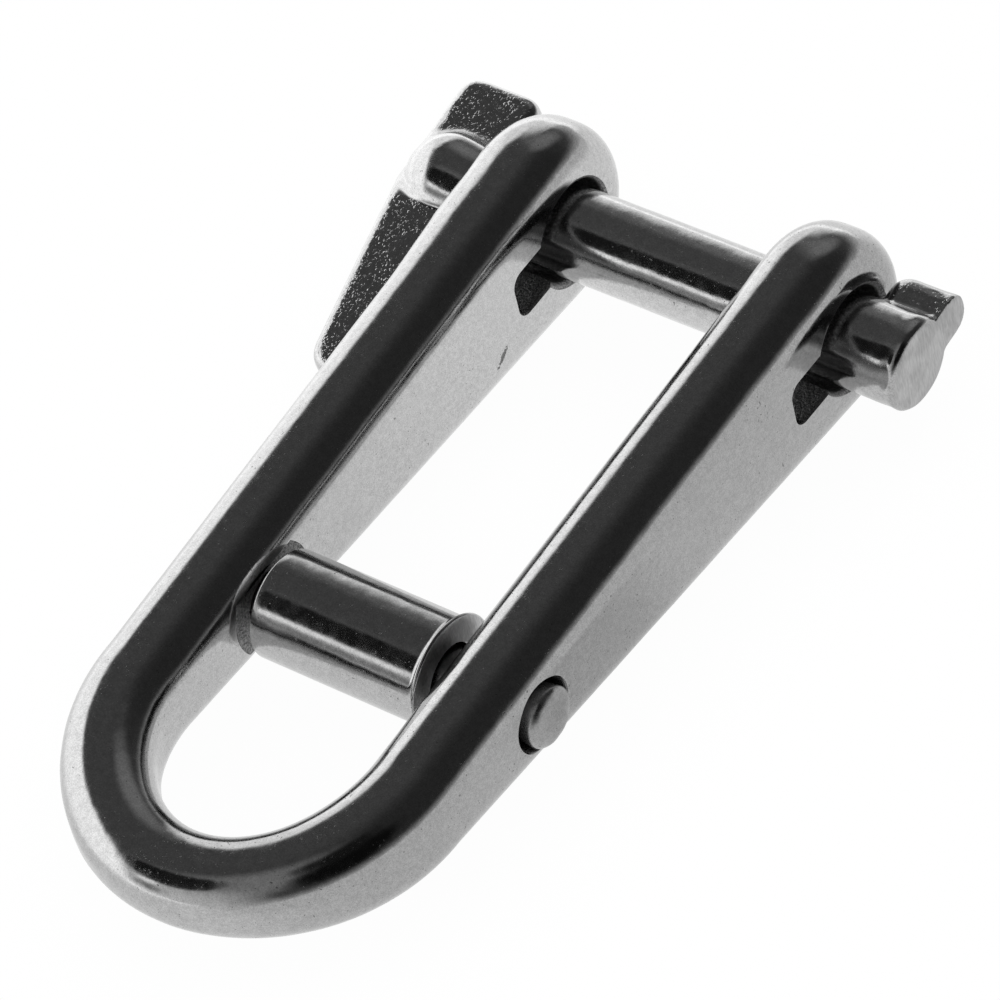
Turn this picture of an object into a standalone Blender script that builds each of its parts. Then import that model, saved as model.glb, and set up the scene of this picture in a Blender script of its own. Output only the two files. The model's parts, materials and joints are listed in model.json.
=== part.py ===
"""Key-pin dee shackle with a cross bar.

A cast bow with two eyes, a captive key pin (shaft, lever and key tab in one casting),
a riveted cross bar and the loose sleeve that rolls on it.

The part's frame has X along the pin, Y from the crown of the bow towards the eyes and Z
square to the plane of the bow, with its origin at the bottom centre of the bounding box.
Everything hangs on an empty at the bow's own origin: the middle of the bow, where the
round crown meets the straight legs.
"""

import math

import bmesh
import bpy
from mathutils import Vector

MM = 0.001

# Bow
LEG_LENGTH = 42.8 * MM  # from the bow's own origin to the pin's axis
LEG_THICKNESS = 5.9 * MM
LEG_HALF_DEPTH = 3.55 * MM
CROWN_HEIGHT = 8.3 * MM
CROWN_THICKNESS = 5.7 * MM
CROWN_HALF_DEPTH = 2.7 * MM
HALF_WIDTH_CROWN = 7.2 * MM
HALF_WIDTH_EYES = 7.7 * MM
EYE_RADIUS = 6.6 * MM
EDGE_RADIUS = 2.5 * MM
PAD_HEIGHT = 0.55 * MM  # the outer face of the eye beside the lever stands out by this
PAD_START = 30.5 * MM
PAD_END = 38.0 * MM

# Holes for the pin, with a keyway that lets the key tab through
HOLE_RADIUS = 3.5 * MM
HOLE_LIP = 0.5 * MM
KEYWAY_REACH = 6.6 * MM
KEYWAY_WIDTH = 3.5 * MM
KEYWAY_CORNER = 0.7 * MM

# Key pin
PIN_RADIUS = 3.0 * MM
PIN_TURN = math.radians(8)
DOME_CENTRE = 17.5 * MM
SHAFT_END = 18.6 * MM
SHAFT_END_RADIUS = 3.15 * MM  # the end outside the eye is upset a little
SHAFT_END_ROUND = 0.4 * MM
KEY_START = 14.0 * MM
KEY_REACH = 5.5 * MM
KEY_THICKNESS = 2.9 * MM
KEY_CORNER = 1.4 * MM
KEY_EDGE = 0.5 * MM
LEVER_START = 14.6 * MM
LEVER_END = 20.8 * MM
LEVER_THICKNESS = 2.5 * MM
LEVER_NUB = 7.5 * MM
LEVER_NUB_CORNER = 1.3 * MM
LEVER_ARM = 16.1 * MM
LEVER_TIP_INSET = 2.4 * MM
LEVER_TIP_CORNER = 1.8 * MM
LEVER_EDGE = 0.8 * MM

# Cross bar
BAR_Y = 9.05 * MM
RIVET_RADIUS = 1.85 * MM
RIVET_HEAD_RADIUS = 2.2 * MM
RIVET_HEAD_RISE = 0.8 * MM
RIVET_HEAD_ROUND = 0.4 * MM
RIVET_FLUSH_RISE = 0.1 * MM  # the end under the lever's tip is almost flush
RIVET_HOLE_RADIUS = 2.15 * MM
RIVET_SEAT_RADIUS = 2.65 * MM
RIVET_SEAT_DEPTH = 1.3 * MM
SPOT_FACE_RADIUS = 4.4 * MM  # room for the sleeve's ends on the legs' inner sides
SPOT_FACE_DEPTH = 0.1 * MM
SLEEVE_RADIUS = 3.6 * MM
SLEEVE_RIM = 0.4 * MM  # one end is flared by this
SLEEVE_CORNER = 0.3 * MM
SLEEVE_BORE = 2.15 * MM
SLEEVE_LENGTH = 12.8 * MM

# Fineness of the curved surfaces
CROWN_STEPS = 14
EYE_STEPS = 10
EDGE_STEPS = 4
PAD_STEPS = 4
ROUND_SIDES = 40
ARC_STEPS = 4

CUT_MARGIN = 2.0 * MM
MERGE = 0.00001

BOW_ORIGIN = Vector((
    (LEVER_END - SHAFT_END) / 2,
    (CROWN_HEIGHT + CROWN_THICKNESS - LEG_LENGTH - LEVER_NUB) / 2,
    EYE_RADIUS,
))


def clear_scene():
    for obj in list(bpy.data.objects):
        bpy.data.objects.remove(obj, do_unlink=True)


def new_collection(name):
    collection = bpy.data.collections.new(name)
    bpy.context.scene.collection.children.link(collection)
    return collection


def steel(name, colour, roughness):
    material = bpy.data.materials.new(name)
    material.use_nodes = True
    shader = material.node_tree.nodes["Principled BSDF"]
    shader.inputs["Base Color"].default_value = (*colour, 1.0)
    shader.inputs["Metallic"].default_value = 1.0
    shader.inputs["Roughness"].default_value = roughness
    return material


def empty(name, parent=None, location=(0, 0, 0), turn=0.0):
    obj = bpy.data.objects.new(name, None)
    bpy.context.scene.collection.objects.link(obj)
    obj.parent = parent
    obj.location = location
    obj.rotation_euler.x = turn
    return obj


def add_object(name, mesh, collection, parent, material=None):
    """A part where a material is given, otherwise a cutter or a piece that gets joined to a part."""
    obj = bpy.data.objects.new(name, mesh)
    collection.objects.link(obj)
    obj.parent = parent
    if material:
        mesh.materials.append(material)
        mesh.shade_smooth()
        mesh.set_sharp_from_angle(angle=math.radians(35))
    else:
        obj.hide_render = True
        obj.display_type = "WIRE"
    return obj


def arc(centre, radius, start, end, steps=ARC_STEPS):
    """Points along an arc in a plane, with its angles in degrees."""
    turns = [math.radians(start + (end - start) * i / steps) for i in range(steps + 1)]
    return [(centre[0] + radius * math.cos(t), centre[1] + radius * math.sin(t)) for t in turns]


def turned(name, profile, collection, parent, material=None, closed=False):
    """Solid of revolution about X, from (x, radius) points that run along its outside from +X to -X."""
    bm = bmesh.new()
    verts = [bm.verts.new((radius, 0, x)) for x, radius in profile]
    for upper, lower in zip(verts, verts[1:]):
        bm.edges.new((upper, lower))
    if closed:
        bm.edges.new((verts[-1], verts[0]))
    mesh = bpy.data.meshes.new(name)
    bm.to_mesh(mesh)
    bm.free()
    obj = add_object(name, mesh, collection, parent, material)
    obj.rotation_euler.y = math.pi / 2
    screw = obj.modifiers.new("Turn", "SCREW")
    screw.steps = screw.render_steps = ROUND_SIDES
    screw.use_merge_vertices = True
    screw.merge_threshold = MERGE
    screw.use_smooth_shade = bool(material)
    return obj


def plate(name, outline, thickness, edge, collection, parent):
    """Flat plate in the XY plane with rounded rims, as a mesh that can be joined to another."""
    curve = bpy.data.curves.new(name, "CURVE")
    curve.dimensions = "2D"
    curve.fill_mode = "BOTH"
    curve.extrude = thickness / 2
    spline = curve.splines.new("POLY")
    spline.points.add(len(outline) - 1)
    for point, (x, y) in zip(spline.points, outline):
        point.co = (x, y, 0, 1)
    spline.use_cyclic_u = True
    source = bpy.data.objects.new(name + "_outline", curve)
    bpy.context.scene.collection.objects.link(source)
    graph = bpy.context.evaluated_depsgraph_get()
    mesh = bpy.data.meshes.new_from_object(source.evaluated_get(graph))
    bpy.data.objects.remove(source, do_unlink=True)

    bm = bmesh.new()
    bm.from_mesh(mesh)
    bmesh.ops.remove_doubles(bm, verts=bm.verts, dist=MERGE)
    bmesh.ops.dissolve_limit(bm, angle_limit=math.radians(1), verts=bm.verts, edges=bm.edges)
    bmesh.ops.recalc_face_normals(bm, faces=bm.faces)
    rims = [e for e in bm.edges if abs(e.verts[0].co.z - e.verts[1].co.z) < MERGE]
    bmesh.ops.bevel(bm, geom=rims, offset=edge, segments=2, profile=0.5, affect="EDGES")
    bm.to_mesh(mesh)
    bm.free()
    return add_object(name, mesh, collection, parent)


def boolean(obj, other, operation):
    modifier = obj.modifiers.new(other.name, "BOOLEAN")
    modifier.object = other
    modifier.operation = operation
    modifier.solver = "EXACT"


def half_width(y):
    """Half of the clear width between the legs, which spread a little towards the eyes."""
    return HALF_WIDTH_CROWN + (HALF_WIDTH_EYES - HALF_WIDTH_CROWN) * y / LEG_LENGTH


def smooth_step(value, start, end):
    share = min(max((value - start) / (end - start), 0.0), 1.0)
    return share * share * (3 - 2 * share)


def leg_taper():
    """Slope angle of the leg's front edge, from the crown's depth to a tangent of the eye."""
    slope = 0.0
    for _ in range(20):
        slope = (EYE_RADIUS * math.hypot(1, slope) - LEG_HALF_DEPTH) / LEG_LENGTH
    return math.atan(slope)


def half_section(thickness):
    """Front half of the bow's section: (distance from the inner side, drop from the front)."""
    inner = arc((EDGE_RADIUS, EDGE_RADIUS), EDGE_RADIUS, 180, 270, EDGE_STEPS)
    outer = arc((thickness - EDGE_RADIUS, EDGE_RADIUS), EDGE_RADIUS, 270, 360, EDGE_STEPS)
    return inner + outer


def closed_row(points):
    """The row carried down to the bow's middle plane on both sides."""
    first, last = points[0], points[-1]
    return [(first[0], first[1], 0.0), *points, (last[0], last[1], 0.0)]


def crown_row(turn):
    """Row of points over the crown, turned from its middle (0) to the leg (90 degrees)."""
    inner = Vector((HALF_WIDTH_CROWN * math.sin(turn), -CROWN_HEIGHT * math.cos(turn)))
    outward = Vector((math.sin(turn) / HALF_WIDTH_CROWN, -math.cos(turn) / CROWN_HEIGHT))
    outward.normalize()
    share = math.sin(turn) ** 2
    thickness = CROWN_THICKNESS + (LEG_THICKNESS - CROWN_THICKNESS) * share
    depth = CROWN_HALF_DEPTH + (LEG_HALF_DEPTH - CROWN_HALF_DEPTH) * share
    row = []
    for across, drop in half_section(thickness):
        point = inner + outward * across
        row.append((point.x, point.y, depth - drop))
    return closed_row(row)


def leg_row(y, depth, pad):
    """Row of points over the straight leg at y."""
    inner = half_width(y)
    section = half_section(LEG_THICKNESS + pad * smooth_step(y, PAD_START, PAD_END))
    return closed_row([(inner + across, y, depth - drop) for across, drop in section])


def eye_row(turn, pad):
    """Row of points over the round end of the eye, turned about the pin's axis."""
    row = []
    for across, drop in half_section(LEG_THICKNESS + pad):
        radius = EYE_RADIUS - drop
        y = LEG_LENGTH + radius * math.cos(turn)
        row.append((half_width(y) + across, y, radius * math.sin(turn)))
    return closed_row(row)


def half_bow_rows(pad):
    """Rows from the crown's middle to the tip of one eye, on the +X side."""
    rows = [crown_row(math.pi / 2 * i / CROWN_STEPS) for i in range(CROWN_STEPS + 1)]
    taper = leg_taper()
    if pad:
        stations = [PAD_START + (PAD_END - PAD_START) * i / PAD_STEPS for i in range(PAD_STEPS + 1)]
        rows += [leg_row(y, LEG_HALF_DEPTH + y * math.tan(taper), pad) for y in stations]
    rows.append(eye_row(math.pi / 2 + taper, pad))
    rows += [eye_row(math.pi / 2 * (1 - i / EYE_STEPS), pad) for i in range(EYE_STEPS + 1)]
    return rows


def make_bow(parts, cutters, root, material):
    """Loft over the front half, mirrored to the back, then bored for the pin, its key and the rivet."""
    left = [[(-x, y, z) for x, y, z in row] for row in half_bow_rows(PAD_HEIGHT)]
    rows = left[:0:-1] + half_bow_rows(0.0)
    bm = bmesh.new()
    grid = [[bm.verts.new(point) for point in row] for row in rows]
    for near, far in zip(grid, grid[1:]):
        for i in range(len(near) - 1):
            bm.faces.new((near[i], near[i + 1], far[i + 1], far[i]))
    bmesh.ops.remove_doubles(bm, verts=bm.verts, dist=MERGE / 10)
    bmesh.ops.recalc_face_normals(bm, faces=bm.faces)
    mesh = bpy.data.meshes.new("bow")
    bm.to_mesh(mesh)
    bm.free()
    bow = add_object("bow", mesh, parts, root, material)
    mirror = bow.modifiers.new("Back half", "MIRROR")
    mirror.use_axis = (False, False, True)
    mirror.merge_threshold = MERGE
    for cutter in (pin_hole(cutters, root), keyway(cutters, root), rivet_hole(cutters, root)):
        boolean(bow, cutter, "DIFFERENCE")
    return bow


def both_ends(profile):
    """The profile of the +X half, followed by its mirror image."""
    return profile + [(-x, radius) for x, radius in reversed(profile)]


def pin_hole(cutters, root):
    """Bore through both eyes, with a rounded lip at each face."""
    inner_lip = HALF_WIDTH_EYES + HOLE_LIP
    outer_lip = HALF_WIDTH_EYES + LEG_THICKNESS - HOLE_LIP
    flare = HOLE_RADIUS + 2 * HOLE_LIP
    beyond = 1.3 * HOLE_LIP  # from a lip's centre to clear of the eye's face
    outside = outer_lip + PAD_HEIGHT + CUT_MARGIN
    profile = [(outside, 0), (outside, flare), (outer_lip + beyond, flare)]
    profile += arc((outer_lip, HOLE_RADIUS + HOLE_LIP), HOLE_LIP, -10, -90)
    profile += arc((inner_lip, HOLE_RADIUS + HOLE_LIP), HOLE_LIP, -90, -170)
    profile += [(inner_lip - beyond, flare)]
    cutter = turned("pin_hole", both_ends(profile), cutters, root)
    cutter.location.y = LEG_LENGTH
    return cutter


def keyway(cutters, root):
    """Slot beside the bore in both eyes, on the crown's side of the pin."""
    bm = bmesh.new()
    bmesh.ops.create_cube(bm, size=1.0)
    length = 2 * (HALF_WIDTH_EYES + LEG_THICKNESS + CUT_MARGIN)
    bmesh.ops.scale(bm, vec=(length, KEYWAY_REACH, KEYWAY_WIDTH), verts=bm.verts)
    along = [e for e in bm.edges if abs(e.verts[0].co.x - e.verts[1].co.x) > MERGE]
    bmesh.ops.bevel(bm, geom=along, offset=KEYWAY_CORNER, segments=3, profile=0.5, affect="EDGES")
    mesh = bpy.data.meshes.new("keyway")
    bm.to_mesh(mesh)
    bm.free()
    cutter = add_object("keyway", mesh, cutters, root)
    cutter.location.y = LEG_LENGTH - KEYWAY_REACH / 2
    return cutter


def leg_outside():
    """Distance from the middle to the outer face of a leg at the cross bar."""
    return half_width(BAR_Y) + LEG_THICKNESS


def rivet_hole(cutters, root):
    """Hole through both legs, with a conical seat outside and a shallow spot face inside."""
    face = leg_outside()
    spot_face = half_width(BAR_Y) + SPOT_FACE_DEPTH
    slope = (RIVET_SEAT_RADIUS - RIVET_HOLE_RADIUS) / RIVET_SEAT_DEPTH
    outside = face + CUT_MARGIN
    profile = [
        (outside, 0),
        (outside, RIVET_SEAT_RADIUS + slope * CUT_MARGIN),
        (face - RIVET_SEAT_DEPTH, RIVET_HOLE_RADIUS),
        (spot_face, RIVET_HOLE_RADIUS),
        (spot_face, SPOT_FACE_RADIUS),
    ]
    cutter = turned("rivet_hole", both_ends(profile), cutters, root)
    cutter.location.y = BAR_Y
    return cutter


def make_key_pin(parts, cutters, root, material):
    """Shaft with a domed end, joined to its lever and its key tab."""
    axis = empty("pin_axis", root, (0, LEG_LENGTH, 0), PIN_TURN)
    corner = (SHAFT_END - SHAFT_END_ROUND, SHAFT_END_RADIUS - SHAFT_END_ROUND)
    profile = [(SHAFT_END, 0)] + arc(corner, SHAFT_END_ROUND, 0, 90, 2)
    profile += [(KEY_START + KEY_CORNER, SHAFT_END_RADIUS), (KEY_START, PIN_RADIUS)]
    profile += arc((-DOME_CENTRE, 0), PIN_RADIUS, 90, 180, 8)
    shaft = turned("key_pin", profile, parts, axis, material)
    boolean(shaft, plate("lever", lever_outline(), LEVER_THICKNESS, LEVER_EDGE, cutters, axis), "UNION")
    boolean(shaft, plate("key_tab", key_outline(), KEY_THICKNESS, KEY_EDGE, cutters, axis), "UNION")
    return shaft


def lever_outline():
    """Plan of the lever: a long arm towards the crown and a short nub past the pin."""
    corner, tip_corner = LEVER_NUB_CORNER, LEVER_TIP_CORNER
    tip_x = -LEVER_END + LEVER_TIP_INSET
    points = arc((-LEVER_START - corner, LEVER_NUB - corner), corner, 0, 90)
    points += arc((-LEVER_END + corner, LEVER_NUB - corner), corner, 90, 180)
    points += [(-LEVER_END, -PIN_RADIUS / 2)]
    points += arc((tip_x + tip_corner, -LEVER_ARM + tip_corner), tip_corner, 190, 270)
    points += arc((-LEVER_START - corner, -LEVER_ARM + corner), corner, 270, 360)
    return points


def key_outline():
    """Plan of the key tab, from inside the shaft outwards."""
    inside = KEY_REACH / 4
    end = SHAFT_END - SHAFT_END_ROUND / 2
    points = [(end, inside), (end, KEY_REACH)]
    points += arc((KEY_START + KEY_CORNER, KEY_REACH - KEY_CORNER), KEY_CORNER, 90, 180)
    points += [(KEY_START, inside)]
    return points


def rivet_head(rise):
    """Profile of a peened head from its crown to the shank, on the +X side."""
    face = leg_outside()
    top = face + rise
    head = [(top, 0), (top, RIVET_HEAD_RADIUS / 2)]
    centre = (top - 1.25 * RIVET_HEAD_ROUND, RIVET_HEAD_RADIUS - RIVET_HEAD_ROUND)
    head += arc(centre, RIVET_HEAD_ROUND, 10, 90, 3)
    return head + [(face - RIVET_SEAT_DEPTH, RIVET_RADIUS)]


def make_rivet(parts, root, material):
    """Cross bar: a plain shank with one domed and one nearly flush peened head."""
    flush = [(-x, radius) for x, radius in reversed(rivet_head(RIVET_FLUSH_RISE))]
    rivet = turned("bar_rivet", rivet_head(RIVET_HEAD_RISE) + flush, parts, root, material)
    rivet.location.y = BAR_Y
    return rivet


def make_sleeve(parts, root, material):
    """Tube, loose on the rivet, with its +X end flared by the cut."""
    end = SLEEVE_LENGTH / 2
    corner = SLEEVE_CORNER
    profile = arc((end - corner, SLEEVE_RADIUS + SLEEVE_RIM - corner), corner, 0, 90, 3)
    profile += [(end - 3 * corner, SLEEVE_RADIUS)]
    profile += arc((-end + corner, SLEEVE_RADIUS - corner), corner, 90, 180, 3)
    profile += [(-end, SLEEVE_BORE), (end - corner, SLEEVE_BORE), (end, SLEEVE_BORE + corner)]
    sleeve = turned("bar_sleeve", profile, parts, root, material, closed=True)
    sleeve.location.y = BAR_Y
    return sleeve


def main():
    clear_scene()
    parts = new_collection("dee_shackle")
    cutters = new_collection("cutters")
    polished = steel("polished_steel", (0.62, 0.62, 0.61), 0.15)
    cast = steel("cast_steel", (0.55, 0.55, 0.54), 0.2)
    bar = steel("bar_steel", (0.6, 0.6, 0.6), 0.18)
    tube = steel("sleeve_steel", (0.58, 0.58, 0.57), 0.15)
    root = empty("bow_origin", location=BOW_ORIGIN)
    make_bow(parts, cutters, root, polished)
    make_key_pin(parts, cutters, root, cast)
    make_rivet(parts, root, bar)
    make_sleeve(parts, root, tube)


main()
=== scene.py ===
"""Looks of the key-pin dee shackle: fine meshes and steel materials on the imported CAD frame.

Each CAD node is replaced by a fine mesh of the same shape. Sizes are in metres, and the
shapes are built in the bow's own axes, whose origin is worked out from the pin's joint.
"""

import json
import math

import bmesh
import bpy
from mathutils import Matrix, Vector, noise


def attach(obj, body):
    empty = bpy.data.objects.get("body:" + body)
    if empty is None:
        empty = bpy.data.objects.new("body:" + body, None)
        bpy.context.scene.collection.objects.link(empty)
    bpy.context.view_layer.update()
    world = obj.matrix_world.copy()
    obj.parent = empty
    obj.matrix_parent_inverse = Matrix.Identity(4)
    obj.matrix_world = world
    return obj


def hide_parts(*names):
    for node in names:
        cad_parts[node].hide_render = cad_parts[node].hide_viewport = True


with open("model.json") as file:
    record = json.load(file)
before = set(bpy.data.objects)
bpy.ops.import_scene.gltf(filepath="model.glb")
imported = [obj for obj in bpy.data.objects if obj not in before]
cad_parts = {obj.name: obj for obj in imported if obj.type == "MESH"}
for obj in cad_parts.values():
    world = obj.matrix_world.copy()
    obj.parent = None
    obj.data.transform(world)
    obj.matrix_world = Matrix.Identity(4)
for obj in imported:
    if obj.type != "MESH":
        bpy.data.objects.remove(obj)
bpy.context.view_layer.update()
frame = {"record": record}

MM = 0.001

# Bow
LEG_LENGTH = 42.8 * MM
LEG_THICKNESS = 5.9 * MM
LEG_HALF_DEPTH = 3.55 * MM
CROWN_HEIGHT = 8.3 * MM
CROWN_THICKNESS = 5.7 * MM
CROWN_HALF_DEPTH = 2.7 * MM
HALF_WIDTH_CROWN = 7.2 * MM
HALF_WIDTH_EYES = 7.7 * MM
EYE_RADIUS = 6.6 * MM
EDGE_RADIUS = 2.5 * MM
PAD_HEIGHT = 0.55 * MM  # the lever's eye is thicker on its outer side
PAD_START = 30.5 * MM
PAD_END = 38.0 * MM
PAD_FALL = 0.6
BOW_WAVINESS = 0.012 * MM
BOW_WAVE_SIZE = 2.5 * MM
NICK_CENTRE = Vector((-7.59, 33.65, -2.7)) * MM  # a gouge low on the inner side of the -X leg
NICK_SIZE = Vector((0.5, 0.95, 0.2)) * MM
NICK_TURN = math.radians(34)

# Holes and keyways
HOLE_RADIUS = 3.5 * MM
HOLE_LIP = 0.45 * MM
LIP_START = 190  # degrees, on the lip's own arc
LIP_END = 275
LIP_FLARE = 1.6  # in lip radii, where the cutter leaves the eye
CUTTER_OVERRUN = 2.5  # in lip radii
SHADED_LIP_STEPS = 8  # steps of the cutter, each way from the hole, left rough and darkened with painted shade
KEYWAY_REACH = 6.6 * MM
KEYWAY_HALF_WIDTH = 1.75 * MM
KEYWAY_CORNER = 0.9 * MM
KEYWAY_LIP = 0.12 * MM
RIVET_HOLE_RADIUS = 2.15 * MM
RIVET_SEAT_RADIUS = 2.45 * MM
RIVET_SEAT_DEPTH = 1.3 * MM
RIVET_SEAT_ROUND = 0.12 * MM
RIVET_CUT_BEYOND = 2 * MM
SPOT_FACE_RADIUS = 3.75 * MM
SPOT_FACE_DEPTH = 0.1 * MM

# Key pin
PIN_RADIUS = 3.0 * MM
PIN_TURN = math.radians(8)  # about its axis, as the photo has it
DOME_CENTRE = 17.5 * MM
BOSS_RADIUS = 3.15 * MM  # the dome on the lever's outer side
BOSS_OFFSET = Vector((0, 0.2, 0.12)) * MM
LEVER_GAP = 0.3 * MM
SHAFT_END = 18.6 * MM
SHAFT_END_RADIUS = 3.08 * MM  # the end is a little upset by hammering
SHAFT_END_ROUND = 0.55 * MM
UPSET_START = 1.6 * MM  # from the shaft's end
UPSET_RISE = 0.05 * MM
UPSET_REACH = 2 * MM
UPSET_WAVINESS = 0.12 * MM
UPSET_WAVE_SIZE = 1.4 * MM
GROUND_DEPTH = 0.12 * MM
KEY_START = 14.0 * MM
KEY_REACH = 5.25 * MM
KEY_THICKNESS = 2.9 * MM
KEY_CORNER = 1.4 * MM
KEY_EDGE = 1.25 * MM
KEY_RECESS = 0.03 * MM  # of the tab's end behind the shaft's
KEY_CAST_SHARE = 0.42
LEVER_START = 14.6 * MM
LEVER_END = 20.8 * MM
LEVER_THICKNESS = 2.5 * MM
LEVER_NUB = 7.5 * MM
LEVER_NUB_CORNER = 1.3 * MM
LEVER_ARM = 16.1 * MM
LEVER_TIP_INSET = 2.4 * MM
LEVER_TIP_CORNER = 1.8 * MM
LEVER_EDGE = 0.8 * MM
RIM_SEGMENTS = 5
PIN_VOXEL = 0.12 * MM
LEVER_ROUNDS = 14  # of smoothing
FILLET_ROUNDS = 24
FILLET_REACH = 1.2 * MM
KEY_ROUNDS = 6
SHAFT_TOLERANCE = 0.1 * MM
PIN_WAVINESS = 0.01 * MM
PIN_WAVE_SIZE = 2 * MM
GRAIN_HEIGHT = 0.014 * MM
GRAIN_SIZE = 0.45 * MM
FINE_GRAIN_SIZE = 0.22 * MM
FINE_GRAIN_SHARE = 0.6
END_MARGIN = 0.3 * MM  # where smoothing, truing and roughening fade out
LEVER_MARGIN = 0.5 * MM
KEY_MARGIN = 0.2 * MM
FLAT_RANGE = (0.8, 0.96)  # of the normal's Z, from a rim to a flat side

# Cross bar
BAR_Y = 9.05 * MM
RIVET_RADIUS = 1.85 * MM
RIVET_HEAD_RADIUS = 2.05 * MM
RIVET_HEAD_RISE = 0.8 * MM
RIVET_HEAD_OFFSET = Vector((0, 0.3, -0.5)) * MM
RIVET_FLUSH_RADIUS = 2.4 * MM
RIVET_RIM_DEPTH = 0.1 * MM
RIVET_DOME_STEPS = 14
RIVET_DOME_POWER = 0.7  # below 1 the dome is flat in the middle
RIVET_DENTS = 0.08 * MM
RIVET_DENT_SIZE = 0.9 * MM
RIVET_FLUSH_RISE = 0.1 * MM
SLEEVE_RADIUS = 3.6 * MM
SLEEVE_RIM = 0.4 * MM
SLEEVE_CORNER = 0.3 * MM
SLEEVE_BORE = 2.15 * MM
SLEEVE_LENGTH = 12.8 * MM

# Fineness
CROWN_STEPS = 72
LEG_STEPS = 60
EYE_STEPS = 48
EDGE_STEPS = 12
SIDE_STEPS = 4
WALL_STEPS = 8
DOME_STEPS = 24
ROUND_SIDES = 144
SHARP_ANGLE = math.radians(40)
MERGE_DISTANCE = 1e-7
PLATE_MERGE_DISTANCE = 1e-5

joints = {joint["name"]: joint for joint in frame["record"]["behaviour"]["joints"]}
pin_axis = Vector(joints["key_pin_turn"]["pos_m"])
bar_axis = Vector(joints["sleeve_spin"]["pos_m"])
bow_origin = pin_axis - Vector((0, LEG_LENGTH, 0))


# Mesh helpers

def arc(centre, radius, start, end, steps=8):
    """Points along an arc in a plane, with its angles in degrees."""
    turns = [math.radians(start + (end - start) * i / steps) for i in range(steps + 1)]
    return [(centre[0] + radius * math.cos(t), centre[1] + radius * math.sin(t)) for t in turns]


def smooth_step(value, start, end):
    """0 at the start, 1 at the end, level at both."""
    share = min(max((value - start) / (end - start), 0.0), 1.0)
    return share * share * (3 - 2 * share)


def new_object(name, mesh, location):
    obj = bpy.data.objects.new(name, mesh)
    bpy.context.scene.collection.objects.link(obj)
    obj.location = location
    return obj


def mesh_of(bm, name):
    mesh = bpy.data.meshes.new(name)
    bm.to_mesh(mesh)
    bm.free()
    return mesh


def realise(obj):
    """The object's modifiers applied to its mesh."""
    graph = bpy.context.evaluated_depsgraph_get()
    mesh = bpy.data.meshes.new_from_object(obj.evaluated_get(graph))
    obj.modifiers.clear()
    obj.data = mesh
    return obj


def finished(obj, body, slot, *nodes):
    """Shades a piece and gives it its body and the CAD nodes it stands for; the slot is not used.
    """
    obj.data.shade_smooth()
    obj.data.set_sharp_from_angle(angle=SHARP_ANGLE)
    weighted = obj.modifiers.new("Weighted normals", "WEIGHTED_NORMAL")
    weighted.keep_sharp = True
    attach(obj, body)
    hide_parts(*nodes)
    return obj


def turned_mesh(profile, name, closed=False, sides=ROUND_SIDES):
    """Solid of revolution about X, from (x, radius) points along its outside from +X to -X."""
    bm = bmesh.new()
    rings = []
    for x, radius in profile:
        if radius < MERGE_DISTANCE:
            rings.append([bm.verts.new((x, 0, 0))])
            continue
        turns = [2 * math.pi * i / sides for i in range(sides)]
        rings.append([bm.verts.new((x, radius * math.cos(t), radius * math.sin(t))) for t in turns])
    pairs = list(zip(rings, rings[1:]))
    if closed:
        pairs.append((rings[-1], rings[0]))
    for near, far in pairs:
        for i in range(sides):
            j = (i + 1) % sides
            ends = [near[i % len(near)], near[j % len(near)]]
            ends += [far[j % len(far)], far[i % len(far)]]
            bm.faces.new(list(dict.fromkeys(ends)))
    bmesh.ops.recalc_face_normals(bm, faces=bm.faces)
    return mesh_of(bm, name)


def cut(obj, cutter):
    """Takes the cutter out of a piece. The cut faces keep the cutter's materials."""
    modifier = obj.modifiers.new(cutter.name, "BOOLEAN")
    modifier.object = cutter
    modifier.operation = "DIFFERENCE"
    modifier.solver = "EXACT"
    modifier.material_mode = "TRANSFER"


# Bow

def half_width(y):
    """Distance from the middle to a leg's inner side, at a distance along the leg."""
    return HALF_WIDTH_CROWN + (HALF_WIDTH_EYES - HALF_WIDTH_CROWN) * y / LEG_LENGTH


def leg_taper():
    """Angle at which a leg's depth grows until it is a tangent of the round eye."""
    slope = 0.0
    for _ in range(20):
        slope = (EYE_RADIUS * math.hypot(1, slope) - LEG_HALF_DEPTH) / LEG_LENGTH
    return math.atan(slope)


def half_section(thickness, pad=0.0):
    """Front half of the bow's section: (distance from the inner side, drop from the front)."""
    inner = arc((EDGE_RADIUS, EDGE_RADIUS), EDGE_RADIUS, 180, 270, EDGE_STEPS)
    edge = EDGE_RADIUS + pad
    outer = arc((thickness + pad - edge, edge), edge, 270, 360, EDGE_STEPS)
    return inner + outer


def closed_row(points):
    """The row with its flat sides carried down to the bow's middle plane."""
    first, last = points[0], points[-1]
    down = [(first[0], first[1], first[2] * i / SIDE_STEPS) for i in range(SIDE_STEPS)]
    up = [(last[0], last[1], last[2] * i / SIDE_STEPS) for i in reversed(range(SIDE_STEPS))]
    return down + points + up


def crown_row(turn):
    """Section of the round crown, whose inner side is half an ellipse."""
    inner = Vector((HALF_WIDTH_CROWN * math.sin(turn), -CROWN_HEIGHT * math.cos(turn)))
    outward = Vector((math.sin(turn) / HALF_WIDTH_CROWN, -math.cos(turn) / CROWN_HEIGHT))
    outward.normalize()
    share = math.sin(turn) ** 2
    thickness = CROWN_THICKNESS + (LEG_THICKNESS - CROWN_THICKNESS) * share
    depth = CROWN_HALF_DEPTH + (LEG_HALF_DEPTH - CROWN_HALF_DEPTH) * share
    row = []
    for across, drop in half_section(thickness):
        point = inner + outward * across
        row.append((point.x, point.y, depth - drop))
    return closed_row(row)


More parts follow.
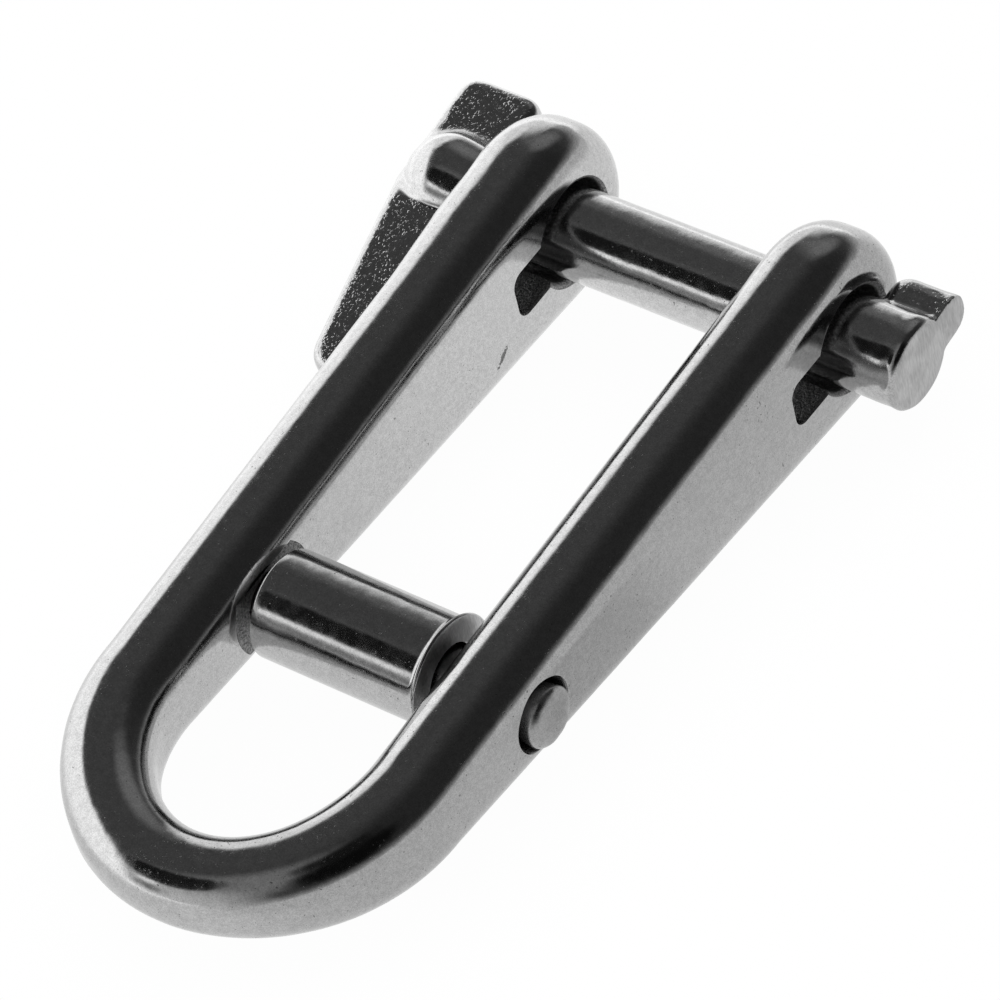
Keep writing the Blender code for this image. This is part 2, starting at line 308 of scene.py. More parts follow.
def leg_row(y, depth, pad):
    inner = half_width(y)
    section = half_section(LEG_THICKNESS, pad * smooth_step(y, PAD_START, PAD_END))
    return closed_row([(inner + across, y, depth - drop) for across, drop in section])


def eye_row(turn, pad):
    """Section of the eye's rim. The pad on its outer side falls away towards the tip."""
    row = []
    pad *= 1 - PAD_FALL * smooth_step(math.cos(turn), 0.2, 1.0)
    for across, drop in half_section(LEG_THICKNESS, pad):
        radius = EYE_RADIUS - drop
        y = LEG_LENGTH + radius * math.cos(turn)
        row.append((half_width(y) + across, y, radius * math.sin(turn)))
    return closed_row(row)


def half_bow_rows(pad):
    """Sections of one side of the bow, from the middle of the crown to the tip of the eye."""
    taper = leg_taper()
    rows = [crown_row(math.pi / 2 * i / CROWN_STEPS) for i in range(CROWN_STEPS + 1)]
    end = LEG_LENGTH - EYE_RADIUS * math.sin(taper)
    for i in range(1, LEG_STEPS):
        y = end * i / LEG_STEPS
        rows.append(leg_row(y, LEG_HALF_DEPTH + y * math.tan(taper), pad))
    start = math.pi / 2 + taper
    rows += [eye_row(start * (1 - i / EYE_STEPS), pad) for i in range(EYE_STEPS + 1)]
    return rows


def wavy(co, size):
    """Smooth noise of either sign, with features of the given size."""
    return noise.noise(co / size)


def wall_points(start, end, z):
    """Points between the two ends of a keyway's straight wall."""
    return [(start + (end - start) * i / WALL_STEPS, z) for i in range(1, WALL_STEPS)]


def keyed_outline(grow, steps=96):
    """Outline in YZ of the pin's hole with its keyway, grown outwards, about the pin's axis."""
    radius = HOLE_RADIUS + grow
    slot_grow = grow * KEYWAY_LIP / HOLE_LIP
    half = KEYWAY_HALF_WIDTH + slot_grow
    reach = KEYWAY_REACH + slot_grow
    corner = KEYWAY_CORNER + slot_grow
    meet = math.degrees(math.asin(half / radius))
    points = arc((0, 0), radius, -180 + meet, 180 - meet, steps)
    wall_start, wall_end = points[-1][0], -reach + corner
    points += wall_points(wall_start, wall_end, half)
    points += arc((wall_end, half - corner), corner, 90, 180)
    points += arc((wall_end, -half + corner), corner, 180, 270)
    points += wall_points(wall_end, wall_start, -half)
    return points


def make_bow(polished, rough):
    """The front half of the bow mirrored to its back, with the holes and keyways cut out."""
    left = [[(-x, y, z) for x, y, z in row] for row in half_bow_rows(PAD_HEIGHT)]
    rows = left[:0:-1] + half_bow_rows(0.0)
    bm = bmesh.new()
    grid = [[bm.verts.new(point) for point in row] for row in rows]
    for near, far in zip(grid, grid[1:]):
        for i in range(len(near) - 1):
            bm.faces.new((near[i], near[i + 1], far[i + 1], far[i]))
    bmesh.ops.remove_doubles(bm, verts=bm.verts, dist=MERGE_DISTANCE)
    front = bm.faces[:] + bm.edges[:] + bm.verts[:]
    back = bmesh.ops.duplicate(bm, geom=front)["geom"]
    for vert in [part for part in back if isinstance(part, bmesh.types.BMVert)]:
        vert.co.z = -vert.co.z
    bmesh.ops.remove_doubles(bm, verts=bm.verts, dist=MERGE_DISTANCE)
    bmesh.ops.recalc_face_normals(bm, faces=bm.faces)
    bm.normal_update()
    for vert in bm.verts:
        vert.co += vert.normal * BOW_WAVINESS * wavy(vert.co, BOW_WAVE_SIZE)
    mesh = mesh_of(bm, "bow_body")
    mesh.materials.append(polished)
    bow = new_object("bow_body", mesh, bow_origin)
    cutters = [eye_cutter(side, polished, rough) for side in (1, -1)]
    cutters += [seat_cutter(side, polished, rough) for side in (1, -1)]
    for cutter in cutters:
        cut(bow, cutter)
    realise(bow)
    for cutter in cutters:
        bpy.data.objects.remove(cutter, do_unlink=True)
    return finished(bow, "bow", "bow_steel", "bow")


def eye_cutter(side, polished, rough):
    """Hole and keyway through one eye. Its lips open at both faces, which splay with the leg."""
    pad = PAD_HEIGHT if side < 0 else 0.0
    lip = arc((0, 0), HOLE_LIP, LIP_START, LIP_END)
    inner = HALF_WIDTH_EYES + HOLE_LIP
    outer = HALF_WIDTH_EYES + LEG_THICKNESS + pad - HOLE_LIP
    stations = [(inner - HOLE_LIP * CUTTER_OVERRUN, HOLE_LIP * LIP_FLARE)]
    stations += [(inner + dx, HOLE_LIP + dr) for dx, dr in lip]
    stations += [(outer - dx, HOLE_LIP + dr) for dx, dr in reversed(lip)]
    stations += [(outer + HOLE_LIP * CUTTER_OVERRUN, HOLE_LIP * LIP_FLARE)]
    bm = bmesh.new()
    rings = []
    for x, grow in stations:
        rings.append([bm.verts.new((side * x, y, z)) for y, z in keyed_outline(grow)])
    count = len(rings[0])
    lips = len(lip)
    for index, (near, far) in enumerate(zip(rings, rings[1:])):
        for i in range(count):
            j = (i + 1) % count
            face = bm.faces.new((near[i], near[j], far[j], far[i]))
            # the lips near the hole take the rough steel, dark with painted shade
            face.material_index = 1 if abs(index - lips) <= SHADED_LIP_STEPS else 0
    bm.faces.new(rings[0])
    bm.faces.new(rings[-1])
    bmesh.ops.recalc_face_normals(bm, faces=bm.faces)
    mesh = mesh_of(bm, "eye_cutter")
    mesh.materials.append(polished)
    mesh.materials.append(rough)
    return new_object("eye_cutter", mesh, pin_axis)


def seat_cutter(side, polished, rough):
    """Rivet hole through one leg, with its conical seat outside and its spot face inside."""
    face = half_width(BAR_Y) + LEG_THICKNESS
    spot_face = half_width(BAR_Y) + SPOT_FACE_DEPTH
    slope = (RIVET_SEAT_RADIUS - RIVET_HOLE_RADIUS) / RIVET_SEAT_DEPTH
    beyond, round_off = RIVET_CUT_BEYOND, RIVET_SEAT_ROUND
    profile = [
        (face + beyond, 0),
        (face + beyond, RIVET_SEAT_RADIUS + slope * beyond),
        (face + round_off, RIVET_SEAT_RADIUS + 2 * round_off),
        (face, RIVET_SEAT_RADIUS + 0.8 * round_off),
        (face - round_off, RIVET_SEAT_RADIUS + 0.2 * round_off),
        (face - 2 * round_off, RIVET_SEAT_RADIUS - 2 * slope * round_off),
        (face - RIVET_SEAT_DEPTH, RIVET_HOLE_RADIUS),
        (spot_face, RIVET_HOLE_RADIUS),
        (spot_face, SPOT_FACE_RADIUS),
        (spot_face - beyond, SPOT_FACE_RADIUS),
        (spot_face - beyond, 0),
    ]
    mesh = turned_mesh(profile, "seat_cutter")
    if side < 0:
        mesh.transform(Matrix.Scale(-1, 4, (1, 0, 0)))
        mesh.flip_normals()
    mesh.materials.append(polished)
    mesh.materials.append(rough)
    # the seat, the hole and the spot face take the rough steel, dark with painted shade around the
    # rivet and the sleeve's end
    for polygon in mesh.polygons:
        polygon.material_index = 1 if abs(polygon.center.x) < face - 1.5 * round_off else 0
    return new_object("seat_cutter", mesh, bar_axis)


# Key pin

def plate_mesh(outline, thickness, edge, name):
    """Flat plate in the XY plane with rounded rims."""
    curve = bpy.data.curves.new(name, "CURVE")
    curve.dimensions = "2D"
    curve.fill_mode = "BOTH"
    curve.extrude = thickness / 2
    spline = curve.splines.new("POLY")
    spline.points.add(len(outline) - 1)
    for point, (x, y) in zip(spline.points, outline):
        point.co = (x, y, 0, 1)
    spline.use_cyclic_u = True
    source = new_object(name, curve, (0, 0, 0))
    graph = bpy.context.evaluated_depsgraph_get()
    mesh = bpy.data.meshes.new_from_object(source.evaluated_get(graph))
    bpy.data.objects.remove(source, do_unlink=True)
    bm = bmesh.new()
    bm.from_mesh(mesh)
    bmesh.ops.remove_doubles(bm, verts=bm.verts, dist=PLATE_MERGE_DISTANCE)
    bmesh.ops.dissolve_limit(bm, angle_limit=math.radians(1), verts=bm.verts, edges=bm.edges)
    bmesh.ops.recalc_face_normals(bm, faces=bm.faces)
    rims = []
    for rim in bm.edges:
        if abs(rim.verts[0].co.z - rim.verts[1].co.z) < PLATE_MERGE_DISTANCE:
            rims.append(rim)
    bmesh.ops.bevel(
        bm, geom=rims, offset=edge, segments=RIM_SEGMENTS, profile=0.5, affect="EDGES"
    )
    return mesh_of(bm, name)


def lever_outline():
    """The short nub on one side of the shaft, and the long arm that narrows to its tip."""
    corner, tip_corner = LEVER_NUB_CORNER, LEVER_TIP_CORNER
    near = -LEVER_START - corner
    far = -LEVER_END + corner
    tip = -LEVER_END + LEVER_TIP_INSET + tip_corner
    points = arc((near, LEVER_NUB - corner), corner, 0, 90, 4)
    points += arc((far, LEVER_NUB - corner), corner, 90, 180, 4)
    points += [(-LEVER_END, -PIN_RADIUS / 2)]
    points += arc((tip, -LEVER_ARM + tip_corner), tip_corner, 190, 270, 4)
    points += arc((near, -LEVER_ARM + corner), corner, 270, 360, 4)
    return points


def key_outline():
    """The tab, carried past the shaft's end, where it is then ground off."""
    inside = KEY_REACH / 4
    end = SHAFT_END + 2 * KEY_EDGE
    points = [(end, inside), (end, KEY_REACH)]
    points += arc((KEY_START + KEY_CORNER, KEY_REACH - KEY_CORNER), KEY_CORNER, 90, 180, 6)
    points += [(KEY_START, inside)]
    return points


def ground_off(mesh, x):
    """Cuts a plate off square at a distance along X, and closes the cut."""
    bm = bmesh.new()
    bm.from_mesh(mesh)
    whole = bm.verts[:] + bm.edges[:] + bm.faces[:]
    bmesh.ops.bisect_plane(
        bm, geom=whole, plane_co=(x, 0, 0), plane_no=(1, 0, 0), clear_outer=True
    )
    bmesh.ops.holes_fill(bm, edges=[e for e in bm.edges if e.is_boundary])
    bm.to_mesh(mesh)
    bm.free()
    return mesh


def smoothed(bm, keep, rounds):
    """Relaxes the chosen vertices, which rounds the inner corners between them."""
    verts = [v for v in bm.verts if keep(v.co)]
    for _ in range(rounds):
        bmesh.ops.smooth_vert(
            bm, verts=verts, factor=0.5, use_axis_x=True, use_axis_y=True, use_axis_z=True
        )


def on_lever(co):
    return co.x < -LEVER_START + LEVER_GAP


def beside_shaft(co):
    return on_lever(co) and abs(math.hypot(co.y, co.z) - PIN_RADIUS) < FILLET_REACH


def beside_key(co):
    along = KEY_START - KEY_MARGIN < co.x < SHAFT_END - END_MARGIN
    return along and co.y > PIN_RADIUS / 2


def shaft_mesh():
    """The shaft, from its upset end to the domed boss beyond the lever."""
    corner = (SHAFT_END - SHAFT_END_ROUND, SHAFT_END_RADIUS - SHAFT_END_ROUND)
    profile = [(SHAFT_END, 0)] + arc(corner, SHAFT_END_ROUND, 0, 90, 6)
    profile += [(SHAFT_END - UPSET_START, PIN_RADIUS + UPSET_RISE), (KEY_START, PIN_RADIUS)]
    profile += [(-LEVER_START + LEVER_GAP, PIN_RADIUS)]
    profile += arc((-DOME_CENTRE, 0), BOSS_RADIUS, 90, 180, DOME_STEPS)
    shaft = turned_mesh(profile, "shaft")
    for vert in shaft.vertices:
        if vert.co.x < -DOME_CENTRE + LEVER_GAP:
            vert.co += BOSS_OFFSET
    return shaft


def make_true(bm):
    """Brings the plain part of the shaft back to its radius after the remesh."""
    for vert in bm.verts:
        radius = math.hypot(vert.co.y, vert.co.z)
        plain = -LEVER_START + LEVER_MARGIN < vert.co.x < KEY_START - END_MARGIN
        if plain and abs(radius - PIN_RADIUS) < SHAFT_TOLERANCE:
            vert.co.y *= PIN_RADIUS / radius
            vert.co.z *= PIN_RADIUS / radius


def roughen(bm):
    """Cast grain on the flats, a faint waviness all over and hammer marks at the end."""
    layer = bm.verts.layers.float.new("rough_cast")
    for vert in bm.verts:
        vert[layer] = cast_share(vert)
    for vert in bm.verts:
        grain = wavy(vert.co, GRAIN_SIZE) + FINE_GRAIN_SHARE * wavy(vert.co, FINE_GRAIN_SIZE)
        upset = smooth_step(vert.co.x, SHAFT_END - UPSET_REACH, SHAFT_END - END_MARGIN)
        upset *= 1 - abs(vert.normal.x)
        vert.co += vert.normal * vert[layer] * GRAIN_HEIGHT * grain
        vert.co += vert.normal * PIN_WAVINESS * wavy(vert.co, PIN_WAVE_SIZE)
        vert.co += vert.normal * upset * UPSET_WAVINESS * wavy(vert.co, UPSET_WAVE_SIZE)


def make_key_pin(cast, ground):
    """Shaft, lever and key tab fused by a voxel remesh, with their inner corners relaxed."""
    lever = plate_mesh(lever_outline(), LEVER_THICKNESS, LEVER_EDGE, "lever")
    tab = plate_mesh(key_outline(), KEY_THICKNESS, KEY_EDGE, "key_tab")
    bm = bmesh.new()
    for piece in (shaft_mesh(), lever, ground_off(tab, SHAFT_END - KEY_RECESS)):
        bm.from_mesh(piece)
    pin = new_object("key_pin_body", mesh_of(bm, "key_pin_body"), pin_axis)
    remesh = pin.modifiers.new("Fuse", "REMESH")
    remesh.mode = "VOXEL"
    remesh.voxel_size = PIN_VOXEL
    realise(pin)

    bm = bmesh.new()
    bm.from_mesh(pin.data)
    smoothed(bm, on_lever, LEVER_ROUNDS)
    smoothed(bm, beside_shaft, FILLET_ROUNDS)
    smoothed(bm, beside_key, KEY_ROUNDS)
    make_true(bm)
    bm.normal_update()
    roughen(bm)
    for face in bm.faces:
        at_end = face.calc_center_median().x > SHAFT_END - GROUND_DEPTH
        face.material_index = 1 if at_end else 0
    bm.transform(Matrix.Rotation(PIN_TURN, 4, "X"))
    pin.data = mesh_of(bm, "key_pin_body")
    pin.data.materials.append(cast)
    pin.data.materials.append(ground)
    return finished(pin, "key_pin", "key_pin_steel", "key_pin")


def cast_share(vert):
    """How rough the casting is left at a vertex: flat sides of the lever and the key tab."""
    co, normal = vert.co, vert.normal
    flat = smooth_step(abs(normal.z), *FLAT_RANGE)
    if co.x < -LEVER_START:
        return flat * smooth_step(abs(co.y), PIN_RADIUS - LEVER_MARGIN, PIN_RADIUS)
    if co.x > KEY_START:
        beside = smooth_step(co.y, PIN_RADIUS - END_MARGIN, PIN_RADIUS + END_MARGIN)
        return flat * beside * KEY_CAST_SHARE
    return 0.0


# Cross bar

def rivet_head(rise, radius):
    """Profile of a peened dome that drops into the leg's conical seat."""
    face = half_width(BAR_Y) + LEG_THICKNESS
    rim = face - RIVET_RIM_DEPTH
    head = []
    for i in range(RIVET_DOME_STEPS + 1):
        turn = math.pi / 2 * i / RIVET_DOME_STEPS
        height = (face + rise - rim) * math.cos(turn) ** RIVET_DOME_POWER
        head.append((rim + height, radius * math.sin(turn)))
    return head + [(face - RIVET_SEAT_DEPTH, RIVET_RADIUS)]


def make_rivet(material):
    """Hammered heads: a small dome off the shank's centre, and a wide one nearly flush."""
    domed_end = rivet_head(RIVET_HEAD_RISE, RIVET_HEAD_RADIUS)
    flush_end = reversed(rivet_head(RIVET_FLUSH_RISE, RIVET_FLUSH_RADIUS))
    profile = domed_end + [(-x, radius) for x, radius in flush_end]
    mesh = turned_mesh(profile, "bar_rivet_body")
    face = half_width(BAR_Y) + LEG_THICKNESS
    for vert in mesh.vertices:
        x = vert.co.x
        offset = smooth_step(x, face - 2 * RIVET_RIM_DEPTH, face - RIVET_RIM_DEPTH)
        domed = smooth_step(abs(x), face - RIVET_RIM_DEPTH, face + RIVET_RIM_DEPTH)
        dent = domed * RIVET_DENTS * (1 + wavy(vert.co, RIVET_DENT_SIZE))
        vert.co.x -= math.copysign(dent, x)
        vert.co += offset * RIVET_HEAD_OFFSET
    rivet = new_object("bar_rivet_body", mesh, bar_axis)
    mesh.materials.append(material)
    return finished(rivet, "bow", "rivet_steel", "bar_rivet")


def make_sleeve(material, ground):
    """Tube with a flared rim at its +X end and a rounded edge at the other."""
    end = SLEEVE_LENGTH / 2
    corner = SLEEVE_CORNER
    edge = corner / 2
    flare = SLEEVE_RADIUS + SLEEVE_RIM
    profile = arc((end - edge, flare - edge), edge, 0, 120, 6)
    profile += [(end - 1.3 * corner, SLEEVE_RADIUS + 0.2 * SLEEVE_RIM)]
    profile += [(end - 1.8 * corner, SLEEVE_RADIUS), (end - 2.4 * corner, SLEEVE_RADIUS)]
    profile += [(-end + 2.6 * corner, SLEEVE_RADIUS), (-end + 2 * corner, SLEEVE_RADIUS)]
    profile += arc((-end + edge, SLEEVE_RADIUS - edge), edge, 90, 180, 5)
    profile += [(-end, SLEEVE_BORE + corner / 3), (-end + corner / 3, SLEEVE_BORE)]
    profile += [(end - corner / 3, SLEEVE_BORE), (end, SLEEVE_BORE + corner / 3)]
    mesh = turned_mesh(profile, "bar_sleeve_body", closed=True)
    sleeve = new_object("bar_sleeve_body", mesh, bar_axis)
    mesh.materials.append(material)
    mesh.materials.append(ground)
    for face in mesh.polygons:
        # the end faces take the sawn steel, whose raised tone is painted light
        face.material_index = 1 if abs(face.normal.x) > 0.7 else 0
    return finished(sleeve, "sleeve", "sleeve_steel", "bar_sleeve")


# Materials

MARK_STRETCH = (1, 1, 0.12)
MARK_TURN = (math.radians(35), 0, 0)


class Shader:
    """A node tree with short calls for the nodes that the steels and the surroundings share."""

    def __init__(self, tree):
        self.nodes = tree.nodes
        self.links = tree.links

    def node(self, kind, **inputs):
        node = self.nodes.new(kind)
        for name, value in inputs.items():
            self.feed(node.inputs[name.replace("_", " ")], value)
        return node

    def feed(self, socket, value):
        if isinstance(value, bpy.types.NodeSocket):
            self.links.new(value, socket)
        else:
            socket.default_value = value

    def math(self, operation, *values):
        node = self.nodes.new("ShaderNodeMath")
        node.operation = operation
        for socket, value in zip(node.inputs, values):
            self.feed(socket, value)
        return node.outputs[0]

    def ramp(self, value, low, high, start=0.0, end=1.0):
        """Smooth step of a value from low to high, mapped to start and end."""
        node = self.nodes.new("ShaderNodeMapRange")
        node.interpolation_type = "SMOOTHSTEP"
        names = ("Value", "From Min", "From Max", "To Min", "To Max")
        for name, item in zip(names, (value, low, high, start, end)):
            self.feed(node.inputs[name], item)
        return node.outputs["Result"]

    def noise(self, coords, size, detail=2.0, roughness=0.5):
        node = self.node("ShaderNodeTexNoise", Vector=coords, Scale=1 / size)
        node.inputs["Detail"].default_value = detail
        node.inputs["Roughness"].default_value = roughness
        return node.outputs["Fac"]

    def stretched(self, coords, scale, turn):
        node = self.node("ShaderNodeMapping", Vector=coords)
        node.inputs["Rotation"].default_value = turn
        node.inputs["Scale"].default_value = scale
        return node.outputs[0]

    def dimmed(self, value, share, amount):
        """A value made smaller by the given amount where the share is 1."""
        return self.math("MULTIPLY", value, self.math("MULTIPLY_ADD", share, -amount, 1.0))

    def blend(self, under, over, share):
        """The lower value where the share is 0, the upper one where it is 1."""
        change = self.math("SUBTRACT", over, under)
        return self.math("ADD", under, self.math("MULTIPLY", share, change))

    def reach(self, coords, centre, half_size, turn=0.0):
        """Distance from the centre of an ellipsoid turned about X: 1 at its surface."""
        local = self.node("ShaderNodeMapping", Vector=coords, Location=centre, Scale=half_size)
        local.vector_type = "TEXTURE"
        local.inputs["Rotation"].default_value = (turn, 0, 0)
        length = self.nodes.new("ShaderNodeVectorMath")
        length.operation = "LENGTH"
        self.feed(length.inputs[0], local.outputs[0])
        return length.outputs["Value"]

    def grey(self, value):
        node = self.nodes.new("ShaderNodeCombineColor")
        for socket in node.inputs[:3]:
            self.feed(socket, value)
        return node.outputs[0]

    def bump(self, height, distance, normal=None):
        node = self.node("ShaderNodeBump", Height=height, Distance=distance)
        if normal:
            self.feed(node.inputs["Normal"], normal)
        return node.outputs[0]


def metal(name):
    """An all-metal material, its shader, its surface node and the piece's own coordinates."""
    material = bpy.data.materials.new(name)
    material.use_nodes = True
    shader = Shader(material.node_tree)
    surface = shader.nodes["Principled BSDF"]
    surface.inputs["Metallic"].default_value = 1.0
    coords = shader.nodes.new("ShaderNodeTexCoord").outputs["Object"]
    return material, shader, surface, coords


def cast_grit(s, coords, shade, normal):
    """Sandy grains, where the mesh says that the casting was left rough."""
    share = s.node("ShaderNodeAttribute")
    share.attribute_name = "rough_cast"
    ragged = s.math("MULTIPLY_ADD", s.noise(coords, 0.3 * MM), 0.7, share.outputs["Fac"])
    left = s.ramp(ragged, 0.55, 0.95)
    dense = s.ramp(s.noise(coords, 2.2 * MM), 0.35, 0.65, 0.4, 0.95)
    grains = s.ramp(s.noise(coords, 0.2 * MM, 1.5, 0.6), 0.5, 0.85)
    grit = s.math("MULTIPLY", s.math("MULTIPLY", grains, dense), left)
    return s.dimmed(shade, left, 0.1), s.bump(grit, 0.032 * MM, normal)


def nick(s, coords, shade, normal):
    """One ragged gouge in a leg."""
    reach = s.reach(coords, NICK_CENTRE, NICK_SIZE, NICK_TURN)
    ragged = s.math("MULTIPLY_ADD", s.noise(coords, 0.2 * MM), 1.6, reach)
    gouge = s.ramp(ragged, 1.8, 1.45)
    return s.dimmed(shade, gouge, 0.75), s.bump(gouge, -0.05 * MM, normal)


def polished_steel(name, tone=0.5, roughness=0.13, peel=1.0, cast=False, nicked=False):
    """Tumble-polished casting: near mirror, faintly wavy and mottled, with fine dark pits."""
    material, s, surface, coords = metal(name)
    swell = s.noise(coords, 1.6 * MM, 1.0)
    skin = s.noise(coords, 0.3 * MM, 4.0, 0.6)
    clusters = s.ramp(s.noise(coords, 3.5 * MM), 0.40, 0.66, 0.0, 0.05)
    specks = s.noise(coords, 0.2 * MM, 1.5)
    pits = s.ramp(s.math("ADD", specks, clusters), 0.715, 0.755)
    mottle = s.noise(coords, 0.4 * MM, 5.0, 0.72)
    shade = s.ramp(mottle, 0.32, 0.68, tone * 0.91, tone * 1.09)
    grain = s.ramp(s.noise(coords, 0.1 * MM), 0.32, 0.68, 0.91, 1.09)
    shade = s.dimmed(s.math("MULTIPLY", shade, grain), pits, 0.55)
    haze = s.noise(coords, 0.7 * MM, 4.0)
    rough = s.ramp(haze, 0.3, 0.7, roughness * 0.8, roughness * 1.25)
    rough = s.math("MULTIPLY_ADD", pits, 0.2, rough)
    normal = s.bump(swell, 0.022 * MM)
    normal = s.bump(skin, 0.002 * MM * peel, normal)
    normal = s.bump(pits, -0.002 * MM, normal)
    if cast:
        shade, normal = cast_grit(s, coords, shade, normal)
    if nicked:
        shade, normal = nick(s, coords, shade, normal)
    s.feed(surface.inputs["Base Color"], s.grey(shade))
    s.feed(surface.inputs["Roughness"], rough)
    s.feed(surface.inputs["Normal"], normal)
    return material


def shaded_rough_steel():
    """Rough as-cast steel for the insides of the holes and keyways, their lips, the rivet seats and
    spot faces: gritty, and dark from both the rough finish and painted shade in these recesses.
    """
    material, s, surface, coords = metal("rough_cast_shaded_steel")
    grit = s.noise(coords, 0.18 * MM, 3.0, 0.7)
    # dark tone: the rough finish's own, deepened by painted shade
    shade = s.ramp(grit, 0.3, 0.75, 0.10, 0.34)
    s.feed(surface.inputs["Base Color"], s.grey(shade))
    s.feed(surface.inputs["Roughness"], s.ramp(grit, 0.3, 0.7, 0.5, 0.3))
    s.feed(surface.inputs["Normal"], s.bump(grit, 0.08 * MM))
    return material


def ground_steel(name, tone):
    """Sawn and ground end faces, with fine parallel marks."""
    material, s, surface, coords = metal(name)
    marks = s.stretched(coords, MARK_STRETCH, MARK_TURN)
    lines = s.noise(marks, 0.12 * MM, 3.0, 0.65)
    shade = s.ramp(lines, 0.3, 0.72, tone * 0.9, tone * 1.1)
    clouds = s.ramp(s.noise(coords, 1.5 * MM, 3.0), 0.35, 0.65, 0.9, 1.1)
    shade = s.math("MULTIPLY", shade, clouds)
    s.feed(surface.inputs["Base Color"], s.grey(shade))
    s.feed(surface.inputs["Roughness"], s.ramp(lines, 0.3, 0.7, 0.42, 0.3))
    s.feed(surface.inputs["Normal"], s.bump(lines, 0.012 * MM))
    return material


# Surroundings

TARGET = Vector((0, 20, 0)) * MM  # in the bow's axes
AZIMUTH = 46.6
ELEVATION = 47.66
ROLL = -15.32
DISTANCE = 415.7 * MM
SENSOR_WIDTH = 36.0
VIEW_WIDTH = 61.576 * MM  # what the frame's width covers at the target
SHIFT = (0.0302, 0.0164)  # in frame widths
FLOOR_SIZE = 2.0
FLOOR_SHADE_CENTRE = Vector((17, -25, 0)) * MM  # painted shade in the floor's glow, beside the cross bar
FLOOR_SHADE_SIZE = Vector((14, 10, 10)) * MM
CONTACT_REACH = 12 * MM


def camera_axes():
    """The camera's right, up and backward directions, from its azimuth, elevation and roll."""
    azimuth, elevation, roll = (math.radians(a) for a in (AZIMUTH, ELEVATION, ROLL))
    back = Vector((
        math.sin(azimuth) * math.cos(elevation),
        -math.cos(azimuth) * math.cos(elevation),
        math.sin(elevation),
    ))
    level = Vector((math.cos(azimuth), math.sin(azimuth), 0))
    upright = back.cross(level)
    right = math.cos(roll) * level + math.sin(roll) * upright
    return right, back.cross(right), back


def make_camera():
    """Long lens, aimed so that the shackle lies across the frame as a product shot has it."""
    right, up, back = camera_axes()
    data = bpy.data.cameras.new("camera")
    data.sensor_width = SENSOR_WIDTH
    data.lens = SENSOR_WIDTH * DISTANCE / VIEW_WIDTH
    data.clip_start = 0.01
    data.clip_end = 100.0
    data.shift_x, data.shift_y = SHIFT
    camera = bpy.data.objects.new("camera", data)
    bpy.context.scene.collection.objects.link(camera)
    axes = Matrix((right, up, back)).transposed().to_4x4()
    camera.matrix_world = Matrix.Translation(bow_origin + TARGET + back * DISTANCE) @ axes
    bpy.context.scene.camera = camera


def direction(azimuth, elevation):
    """Unit vector, with azimuth from +Y towards +X."""
    a, e = math.radians(azimuth), math.radians(elevation)
    return Vector((math.sin(a) * math.cos(e), math.cos(a) * math.cos(e), math.sin(e)))


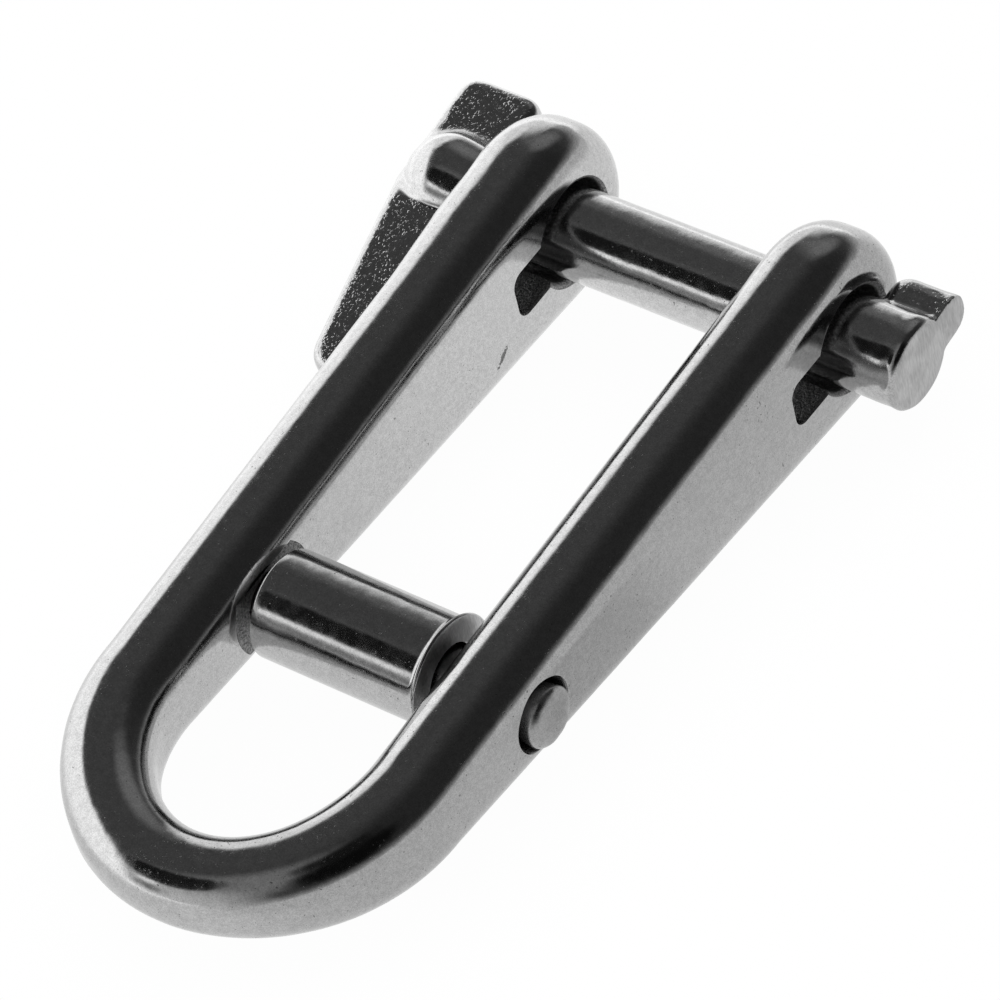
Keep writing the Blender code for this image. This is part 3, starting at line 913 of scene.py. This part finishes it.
def make_world():
    """Soft studio: pale walls under a dark ceiling, brightest on the -X side.

    The polished steel mirrors it, so each patch stands where a band on the steel needs it. A
    patch is given by its azimuth, elevation, radius and softness, in degrees.
    """
    world = bpy.data.worlds.new("studio")
    world.use_nodes = True
    bpy.context.scene.world = world
    s = Shader(world.node_tree)
    ray = s.nodes.new("ShaderNodeTexCoord").outputs["Generated"]

    def dot(axis):
        node = s.nodes.new("ShaderNodeVectorMath")
        node.operation = "DOT_PRODUCT"
        s.feed(node.inputs[0], ray)
        node.inputs[1].default_value = axis
        return node.outputs["Value"]

    def patch(azimuth, elevation, radius, softness):
        """1 inside a round patch of the sky, 0 outside."""
        edge = [math.cos(math.radians(radius + side * softness)) for side in (1, -1)]
        return s.ramp(dot(direction(azimuth, elevation)), *edge)

    height = dot((0, 0, 1))
    ceiling = s.ramp(dot(direction(75, 40)), 0.3, 0.95, 0.072, 0.029)
    walls = s.ramp(dot(direction(-75, -10)), -0.3, 0.8, 0.70, 1.35)
    # Grey sheen on the shoulders of the bow and on the outside of its crown
    light = s.blend(ceiling, 0.22, patch(-14, 38, 13, 12))
    light = s.blend(light, 0.25, patch(178, 52, 26, 14))
    light = s.blend(light, 0.70, patch(-162, 0, 30, 22))
    # Black bands on the outer edge of the crown
    light = s.blend(light, 0.005, patch(116, 40, 23, 6))
    light = s.blend(light, 0.010, patch(122, 66, 13, 6))
    light = s.blend(light, walls, s.ramp(height, 0.31, -0.24))
    # Black band on the pin and the sleeve, with a narrow glint and a grey band below it
    light = s.blend(light, 0.010, patch(-147, 45, 17, 2))
    light = s.blend(light, 1.30, patch(-148, 23, 3.5, 2))
    light = s.blend(light, 0.24, patch(-151, 11, 5, 4))
    # Windows on the -X side
    light = s.blend(light, 1.15, patch(-61, 0, 34, 5))
    light = s.blend(light, 1.50, patch(-98, 0, 43, 4))
    seen = s.nodes.new("ShaderNodeLightPath").outputs["Is Camera Ray"]
    light = s.blend(light, 1.0, seen)
    s.feed(s.nodes["Background"].inputs["Color"], s.grey(light))


def make_floor():
    """White floor with a faint contact shade.

    Its glow, which the steel mirrors, is strongest on the window side and falls off across
    the shackle, with a painted shade in it beside the cross bar.
    """
    bm = bmesh.new()
    bmesh.ops.create_grid(bm, x_segments=1, y_segments=1, size=FLOOR_SIZE)
    floor = new_object("floor", mesh_of(bm, "floor"), (pin_axis.x, pin_axis.y, 0))
    material = bpy.data.materials.new("floor_white")
    material.use_nodes = True
    s = Shader(material.node_tree)
    s.nodes.remove(s.nodes["Principled BSDF"])
    coords = s.nodes.new("ShaderNodeTexCoord").outputs["Object"]
    place = s.node("ShaderNodeSeparateXYZ", Vector=coords)
    across, along = place.outputs["X"], place.outputs["Y"]
    glow = s.ramp(across, -60 * MM, -14 * MM, 1.40, 0.87)
    glow = s.math("MULTIPLY", glow, s.ramp(along, -26 * MM, -4 * MM, 1.0, 1.14))
    # painted shade: the glow is dimmed in a soft patch beside the cross bar
    right = s.ramp(s.reach(coords, FLOOR_SHADE_CENTRE, FLOOR_SHADE_SIZE), 0.3, 1.0, 0.52, 0.67)
    glow = s.blend(glow, right, s.ramp(across, 2 * MM, 20 * MM))
    near = s.node("ShaderNodeAmbientOcclusion", Distance=CONTACT_REACH)
    shade = s.ramp(near.outputs["AO"], 0.3, 1.0, 0.98, 1.0)
    seen = s.nodes.new("ShaderNodeLightPath").outputs["Is Camera Ray"]
    light = s.node("ShaderNodeEmission", Strength=s.blend(glow, shade, seen))
    s.links.new(light.outputs[0], s.nodes["Material Output"].inputs["Surface"])
    floor.data.materials.append(material)


make_bow(polished_steel("polished_steel", nicked=True), shaded_rough_steel())
make_key_pin(
    polished_steel("cast_key_steel", tone=0.55, peel=2.2, cast=True),
    ground_steel("ground_steel", tone=0.57),
)
make_rivet(polished_steel("rivet_steel", tone=0.45, roughness=0.30, peel=4.0))
# the sleeve's sawn end faces get a raised tone, painted light that brightens them
make_sleeve(polished_steel("sleeve_steel"), ground_steel("sawn_steel_painted_light", tone=0.9))
make_camera()
make_world()
make_floor()
bpy.context.scene.view_settings.view_transform = "Standard"
